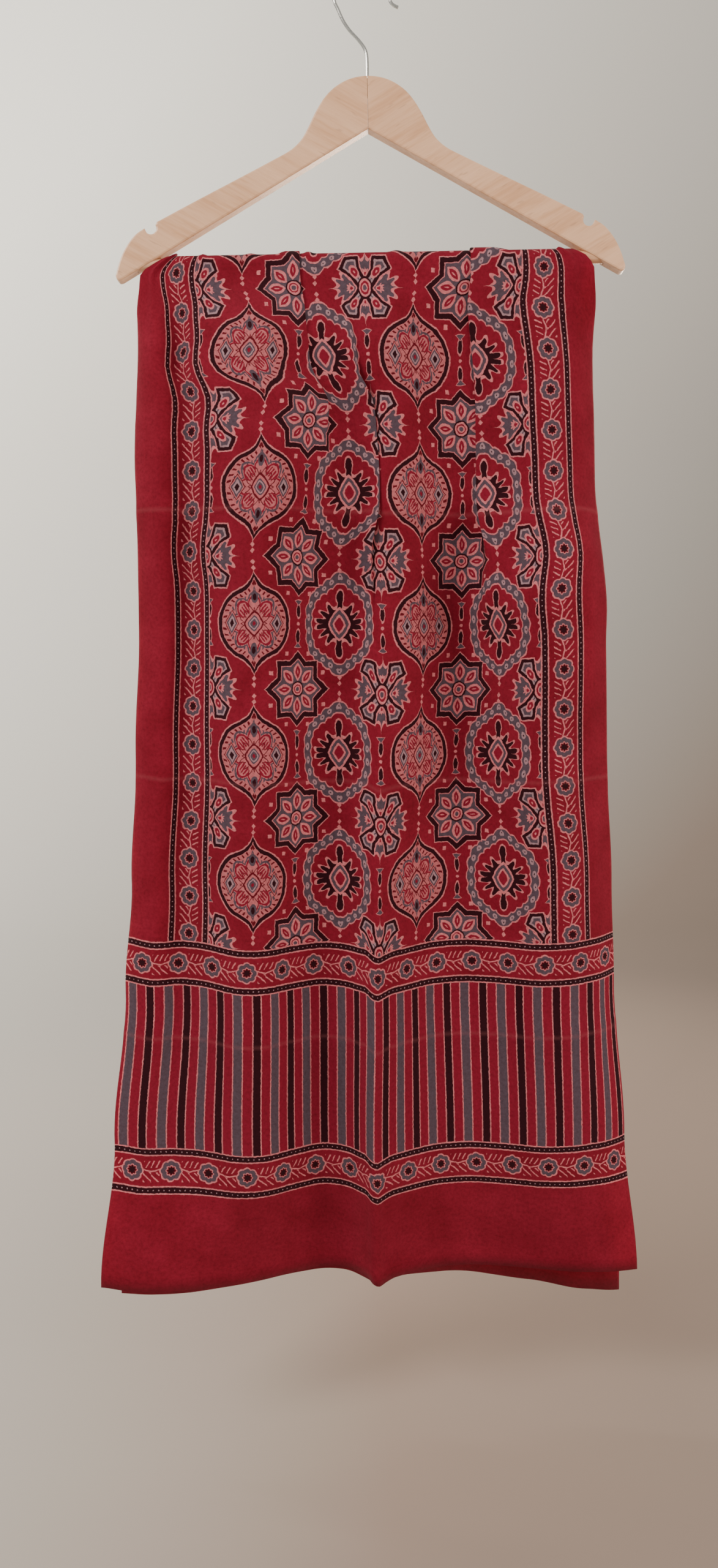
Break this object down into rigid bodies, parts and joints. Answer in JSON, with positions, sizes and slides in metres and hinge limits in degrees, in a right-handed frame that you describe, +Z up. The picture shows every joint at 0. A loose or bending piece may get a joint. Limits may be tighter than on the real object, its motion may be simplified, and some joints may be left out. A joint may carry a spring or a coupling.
{
  "type": "block-printed stole on a wooden clothes hanger",
  "caption": "Thin printed cotton stole folded over the bar of a flat wooden hanger with a wire hook.",
  "frame": {"origin": "inner crown of the wire hook, where the hanger touches the rail it hangs on", "axes": "+Z up, -Y out of the front of the cloth, +X to the right seen from the front"},
  "size_m": [0.4922, 0.0988, 1.1827],
  "materials": {
    "madder_cotton": "matt block-printed plain weave",
    "beech": "satin varnish",
    "steel_wire": "bright"
  },
  "bodies": {
    "root": {"stole": "madder_cotton", "hanger_arm_left": "beech", "hanger_arm_right": "beech", "hanger_bar": "beech", "hook": "steel_wire"}
  },
  "joints": []
}
